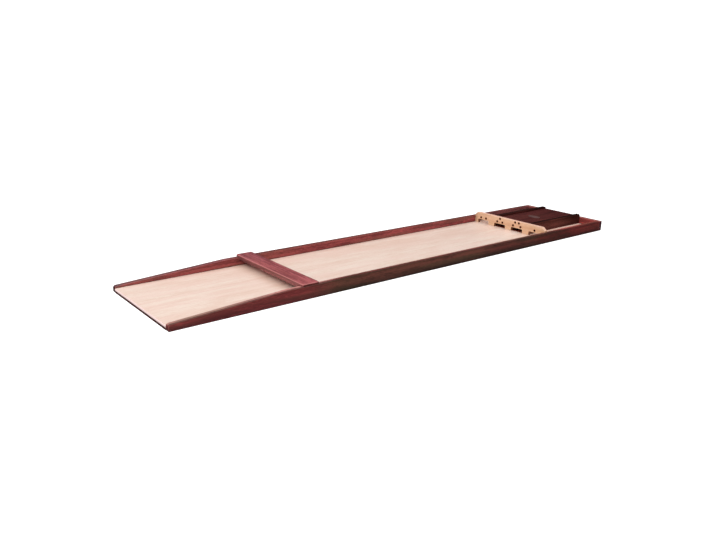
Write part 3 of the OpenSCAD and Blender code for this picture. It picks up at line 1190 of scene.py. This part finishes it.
@dataclass(frozen=True)
class GateBoard:
    """The tan board with the four gates and the painted score dots above them."""

    board: Plank = Plank("gate_board", Grain.ACROSS, heart_beside=25.0, heart_below=70.0)
    pitch_mm: float = 91.0
    gates_at: tuple[float, ...] = (-1.5, -0.5, 0.5, 1.5)
    low_dot_mm: float = 38.5
    high_dot_mm: float = 52.5
    pair_mm: float = 28.0
    four_low_mm: float = 39.0
    four_high_mm: float = 19.4
    dot_radius_mm: float = 4.25
    upper_face: Span = (0.5, 0.9)
    side_face: Span = (0.5, 0.8)
    paint: Colour = (0.070, 0.006, 0.002)
    paint_past_mm: Span = (0.9, 0.45)
    paint_roughness: float = 0.1
    bleed: Colour = (0.82, 0.62, 0.46)
    bleed_past_mm: Span = (2.4, 0.9)
    # Painted light on the top.
    top_tint: Colour = (1.16, 1.05, 1.24)
    # Painted shade at the left end, next to the rail.
    left_tint: Colour = (0.80, 0.77, 0.76)
    left_mm: Span = (-167.0, -177.0)
    # Painted shade on the sides of the gates.
    jamb_tint: Colour = (0.42, 0.28, 0.22)
    jamb_mm: Span = (31.5, 29.5)

    @staticmethod
    def pair(middle: float, apart: float, height: float) -> list[Span]:
        """The middles of two dots side by side, across the board and up, in millimetres."""
        return [(middle - apart / 2, height), (middle + apart / 2, height)]

    def dots(self) -> list[Span]:
        """Lays out the score dots: two, three, four and one from left to right.

        Returns:
            The middle of each dot, across the board and up, in millimetres.
        """
        two, three, four, one = [place * self.pitch_mm for place in self.gates_at]
        return [
            *self.pair(two, self.pair_mm, self.low_dot_mm),
            *self.pair(three, self.pair_mm, self.low_dot_mm),
            (three, self.high_dot_mm),
            *self.pair(four, self.four_low_mm, self.low_dot_mm),
            *self.pair(four, self.four_high_mm, self.high_dot_mm),
            (one, self.low_dot_mm),
        ]

    def paint_dots(self, bench: Bench, surface: Surface) -> Surface:
        """Paints the drilled dots, paints shade on the sides of the gates and at the board's left end, and
        paints light on its top.

        A little of the paint has bled into the wood around the dots.

        Args:
            bench: The material's tree.
            surface: The bare wood.

        Returns:
            The wood with painted dots, painted light and painted shade.
        """
        across, _, up = bench.place_mm()
        sideways, _, upwards = bench.facing()
        distances = [(across - x).hypotenuse(up - z) for x, z in self.dots()]
        past = reduce(Wire.least, distances) - self.dot_radius_mm
        # Paints shade at the left end and light on the top.
        colour = bench.wash(surface.colour, self.left_tint, across.rise(self.left_mm))
        colour = bench.wash(colour, self.top_tint, upwards.rise(self.upper_face))
        # Paints shade on the sides of the gates.
        jamb = abs(sideways).rise(self.side_face) * up.rise(self.jamb_mm)
        colour = bench.wash(colour, self.jamb_tint, jamb)
        colour = bench.wash(colour, self.bleed, past.rise(self.bleed_past_mm))
        painted = past.rise(self.paint_past_mm)
        roughness = surface.roughness + painted * self.paint_roughness
        return Surface(bench.blend(colour, self.paint, painted), roughness, surface.height)

    def build(self) -> None:
        """Dresses the board."""
        dress_plank(self.board, TAN_GATE, self.paint_dots)


@dataclass(frozen=True)
class Bays:
    """The dividers between the bays, with the cleats that carry the cover."""

    right: Plank = Plank("right_divider", Grain.ALONG)
    left: Plank = Plank("left_divider", Grain.ALONG, heart_beside=20.0, heart_below=70.0)
    hidden: tuple[str, ...] = ("middle_divider", "left_cleat", "right_cleat")
    # Painted shade on the pieces hidden under the cover.
    hidden_painted_shade: Colour = (0.9, 0.30, 0.20)
    # Painted shade: the left divider's darker copy of the bay stain.
    left_painted_shade: Colour = (0.32, 0.18, 0.18)
    fade: Fade = Fade(WHITE, (((795.0, 945.0), (0.46, 0.38, 0.38)),))
    foot_tint: Colour = (0.86, 0.80, 0.83)
    top_tint: Colour = (0.50, 0.42, 0.42)
    tinted_mm: Span = (28.0, 56.0)

    def darken_upwards(self, bench: Bench, surface: Surface) -> Surface:
        """Darkens the stain towards the top and the end wall.

        Args:
            bench: The material's tree.
            surface: The stained wood.

        Returns:
            The darkened wood.
        """
        _, _, up = bench.place_mm()
        coat = bench.blend(self.foot_tint, self.top_tint, up.rise(self.tinted_mm))
        return self.fade.cover(bench, replace(surface, colour=bench.tint(surface.colour, coat)))

    def build(self) -> None:
        """Dresses the dividers and cleats."""
        dress_plank(self.right, BAY_STAIN, self.darken_upwards)
        dress_plank(self.left, BAY_STAIN.stained(self.left_painted_shade), self.fade.cover)
        for piece in self.hidden:
            plain = replace(self.right, node=piece, eased_mm=0.0)
            dress_plank(plain, BAY_STAIN.stained(self.hidden_painted_shade))


def quarter_turn(steps: int) -> list[float]:
    """The angles of a quarter turn in equal steps."""
    return [i / steps * QUARTER_TURN for i in range(steps + 1)]


def oval(middle: Span, half: Span, height: float, steps: int) -> list[Point]:
    """Lays out the points of a level oval.

    Args:
        middle: Its middle.
        half: Half its length and half its width.
        height: Its height.
        steps: How many points it has.

    Returns:
        The points in order.
    """
    turns = [2 * math.pi * step / steps for step in range(steps)]
    (x, y), (length, width) = middle, half
    return [(x + length * math.cos(turn), y + width * math.sin(turn), height) for turn in turns]


def build_form(name: str, rings: Sequence[Sequence[Point]], has_foot: bool) -> bpy.types.Object:
    """Builds a smooth skin over rings of points.

    Args:
        name: The object's name.
        rings: The rings from the outermost to the innermost, which is closed with a face.
        has_foot: Whether the outermost ring is closed with a face too.

    Returns:
        The object, linked to the scene.
    """
    mesh = bmesh.new()
    laid = [[mesh.verts.new(point) for point in ring] for ring in rings]
    for outer, inner in zip(laid, laid[1:]):
        for step in range(len(outer)):
            after = (step + 1) % len(outer)
            mesh.faces.new((outer[step], outer[after], inner[after], inner[step]))
    mesh.faces.new(laid[-1])
    if has_foot:
        mesh.faces.new(list(reversed(laid[0])))
    for face in mesh.faces:
        face.smooth = True
    data = bpy.data.meshes.new(name)
    mesh.to_mesh(data)
    mesh.free()
    form = bpy.data.objects.new(name, data)
    bpy.context.scene.collection.objects.link(form)
    return form


@dataclass(frozen=True)
class Cover:
    """The dark cover over the two middle bays, with its end battens and blank badge."""

    panel: Plank = Plank("cover_panel", Grain.ALONG, heart_below=110.0)
    battens: tuple[str, ...] = ("cover_front_batten", "cover_rear_batten")
    fade: Fade = Fade(WHITE, (((750.0, 930.0), (0.76, 0.66, 0.70)),))
    badge_rim_mm: float = 0.9
    badge_steps: int = 96
    bead_width: float = 0.03
    bead_foot: float = 0.4
    bead_steps: int = 8
    dish: tuple[Span, ...] = ((0.965, 0.85), (0.95, 0.62), (0.925, 0.52), (0.88, 0.50))
    dome_rise: float = 0.12
    dome_steps: int = 5

    def badge_profile(self) -> list[Span]:
        """Shapes the badge from its edge to its middle: a bead, a dish and a low dome.

        Returns:
            Shares of the badge's half size, each with a height as a share of the rim's.
        """
        bead = []
        for turn in quarter_turn(self.bead_steps):
            height = self.bead_foot + (1 - self.bead_foot) * math.sin(turn)
            bead.append((1 - self.bead_width * (1 - math.cos(turn)), height))
        edge, floor = self.dish[-1]
        dome = []
        for turn in quarter_turn(self.dome_steps)[1:-1]:
            dome.append((edge * (1 - turn / QUARTER_TURN), floor + self.dome_rise * math.sin(turn)))
        return [(1.0, 0.0), *bead, *self.dish, *dome]

    def build_badge(self) -> None:
        """Builds the blank badge in place of the plain oval plate."""
        low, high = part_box("oval_plate")
        middle = (low + high) / 2
        half = (high - low) / 2
        rings = []
        for share, height in self.badge_profile():
            level = low.z + height * self.badge_rim_mm * MM
            rings.append(oval(middle.xy, half.xy * share, level, self.badge_steps))
        badge = build_form("badge", rings, has_foot=True)
        badge.data.materials.append(BADGE_GREY.material())
        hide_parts("oval_plate")
        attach(badge, "cover")
        LOG.info("badge built with %d faces", len(badge.data.polygons))

    def build(self) -> None:
        """Dresses the cover and builds its badge."""
        dress_plank(self.panel, COVER_STAIN, self.fade.cover)
        for batten in self.battens:
            dress_plank(Plank(batten, Grain.ACROSS), COVER_STAIN, self.fade.cover)
        self.build_badge()


@dataclass(frozen=True)
class Screws:
    """All the zinc-plated screws."""

    nodes: tuple[str, ...] = ("batten_screws", "end_wall_screws", "divider_screws", "cleat_screws")

    def build(self) -> None:
        """Dresses the screws in one plating."""
        plating = ZINC_PLATING.material()
        for node in self.nodes:
            dress(node, plating)


@dataclass(frozen=True)
class Viewpoint:
    """Where the picture is taken from, and with what lens."""

    place: Point = (1.80599, -1.67659, 0.70648)
    tilt_deg: float = 72.6652
    roll_deg: float = -1.3918
    heading_deg: float = 51.1920
    focal_px: float = 689.21
    frame_px: tuple[int, int] = (716, 540)
    film_mm: float = 36.0

    def build(self) -> None:
        """Makes the camera."""
        camera = bpy.data.objects.new("camera", bpy.data.cameras.new("camera"))
        camera.location = self.place
        turns = (self.tilt_deg, self.roll_deg, self.heading_deg)
        camera.rotation_euler = Euler([math.radians(turn) for turn in turns])
        camera.data.sensor_width = self.film_mm
        camera.data.lens = self.focal_px * self.film_mm / self.frame_px[0]
        bpy.context.scene.collection.objects.link(camera)
        bpy.context.scene.camera = camera


@dataclass(frozen=True)
class Studio:
    """A white sweep under a soft sky, with one large soft lamp above the player's end."""

    middle_radius: float = 0.4
    floor_radius: float = 9.0
    sweep_radius: float = 3.0
    sweep_steps: int = 12
    wall_height: float = 6.0
    steps: int = 96
    floor_white: Colour = (0.5, 0.5, 0.5)
    floor_glow: float = 0.9
    sky_strength: float = 1.40
    sky_gather: float = 1.4
    side_strength: float = 0.45
    front_strength: float = 0.45
    low_gather: float = 2.0
    ground_strength: float = 0.10
    backdrop_deg: float = 129.2
    backdrop_span: Span = (0.3, 0.85)
    backdrop_dimmed: float = 0.85
    lamp_elevation_deg: float = 42.0
    lamp_heading_deg: float = 14.0
    lamp_distance: float = 7.0
    lamp_size: float = 3.6
    lamp_watts: float = 190.0

    def sweep_profile(self) -> list[Span]:
        """Shapes the sweep from its middle to its upper rim.

        Returns:
            Radius and height of the floor, its curve and the wall.
        """
        curve = []
        for turn in quarter_turn(self.sweep_steps):
            radius = self.floor_radius + self.sweep_radius * math.sin(turn)
            curve.append((radius, self.sweep_radius * (1 - math.cos(turn))))
        rim = (self.floor_radius + self.sweep_radius, self.wall_height)
        return [(self.middle_radius, 0.0), *curve, rim]

    def build_sweep(self) -> None:
        """Builds the floor and the wall, which only the camera sees."""
        rings = []
        for radius, height in reversed(self.sweep_profile()):
            rings.append(oval((0.0, 0.0), (radius, radius), height, self.steps))
        floor = build_form("floor", rings, has_foot=False)
        floor.visible_diffuse = False
        floor.visible_glossy = False
        floor.visible_shadow = False
        material, bench = new_material("floor_white")
        sockets = {
            "Base Color": self.floor_white,
            "Roughness": 1.0,
            "Specular IOR Level": 0.0,
            "Emission Color": WHITE,
            "Emission Strength": self.floor_glow,
        }
        shader = bench.node("ShaderNodeBsdfPrincipled", sockets=sockets)
        bench.add("ShaderNodeOutputMaterial", sockets={"Surface": shader})
        floor.data.materials.append(material)

    def build_sky(self) -> None:
        """Makes a sky that is bright overhead, soft in front and at the right, and dim behind."""
        world = bpy.data.worlds.new("studio")
        world.use_nodes = True
        bench = Bench(world.node_tree)
        right, back, up = bench.axes_of(bench.node("ShaderNodeTexCoord", output="Generated"))
        overhead = up.most(0.0) ** self.sky_gather * self.sky_strength
        side = right.most(0.0) ** self.low_gather * self.side_strength
        front = (back * -1.0).most(0.0) ** self.low_gather * self.front_strength
        turn = math.radians(self.backdrop_deg)
        backdrop = (right * math.cos(turn) + back * math.sin(turn)).rise(self.backdrop_span)
        open_sky = overhead + side + front + self.ground_strength
        strength = open_sky * (1.0 - backdrop * self.backdrop_dimmed)
        light = bench.node("ShaderNodeBackground", sockets={"Color": WHITE, "Strength": strength})
        bench.add("ShaderNodeOutputWorld", sockets={"Surface": light})
        bpy.context.scene.world = world

    def build_lamp(self) -> None:
        """Hangs the soft lamp and aims it at the middle of the board."""
        lamp = bpy.data.objects.new("lamp", bpy.data.lights.new("lamp", "AREA"))
        lamp.data.shape = "DISK"
        lamp.data.size = self.lamp_size
        lamp.data.energy = self.lamp_watts
        up = math.radians(self.lamp_elevation_deg)
        aside = math.radians(self.lamp_heading_deg)
        level = Vector((math.sin(aside), -math.cos(aside), 0.0))
        towards = level * math.cos(up) + Vector((0.0, 0.0, math.sin(up)))
        lamp.location = towards * self.lamp_distance
        lamp.rotation_euler = towards.to_track_quat("Z", "Y").to_euler()
        bpy.context.scene.collection.objects.link(lamp)

    def build(self) -> None:
        """Sets up the whole studio."""
        self.build_sweep()
        self.build_sky()
        self.build_lamp()
        bpy.context.scene.view_settings.view_transform = "Standard"


def main() -> None:
    """Builds the studio and dresses every part of the board."""
    logging.basicConfig(level=logging.INFO, format="%(message)s")
    Viewpoint().build()
    Studio().build()
    parts = (PlayingField(), SideRails(), Crossbar(), GateBoard(), Bays(), Cover(), Screws())
    for part in parts:
        part.build()


if __name__ == "__main__":
    main()
